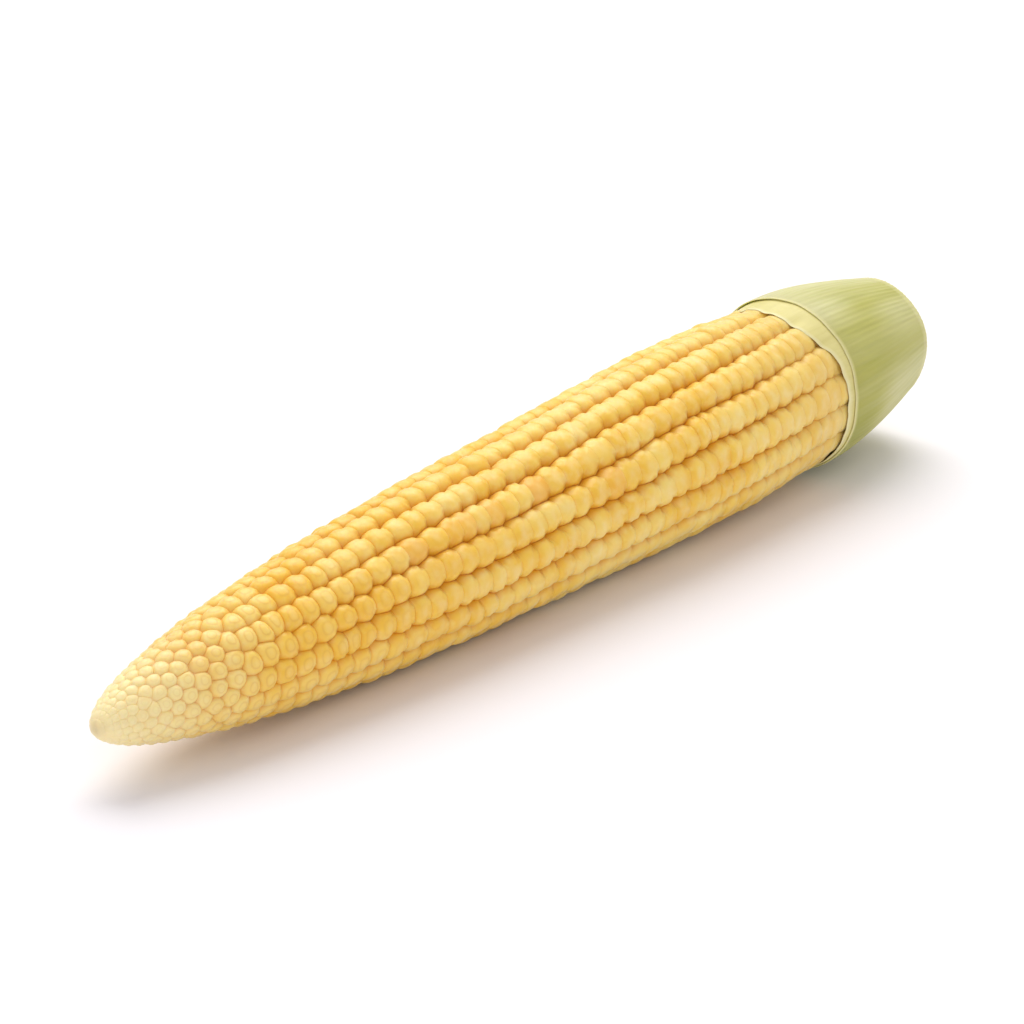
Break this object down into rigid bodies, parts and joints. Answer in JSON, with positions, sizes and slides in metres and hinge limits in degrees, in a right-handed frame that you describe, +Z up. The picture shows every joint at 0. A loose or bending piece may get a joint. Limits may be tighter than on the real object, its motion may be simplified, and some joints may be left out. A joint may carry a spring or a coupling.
{
  "type": "baby corn",
  "caption": "Trimmed fresh baby corn lying on its side: a slim pointed ear with rows of small kernels, short pale green husk stubs and a cut shank.",
  "frame": {"origin": "centre of the bounding box at the ground plane that the ear lies on", "axes": "+X along the ear from its pointed tip to its cut end, +Z up, +Y to the left when looking along +X"},
  "size_m": [0.0996, 0.0156, 0.016],
  "materials": {
    "kernels": "moist waxy skin, satin",
    "inner_husk": "thin translucent leaf, satin",
    "outer_husk": "ribbed green leaf, satin",
    "shank": "cut plant fibre, matt"
  },
  "bodies": {
    "root": {"ear": "kernels", "inner_husk": "inner_husk", "outer_husk": "outer_husk", "shank": "shank"}
  },
  "joints": []
}
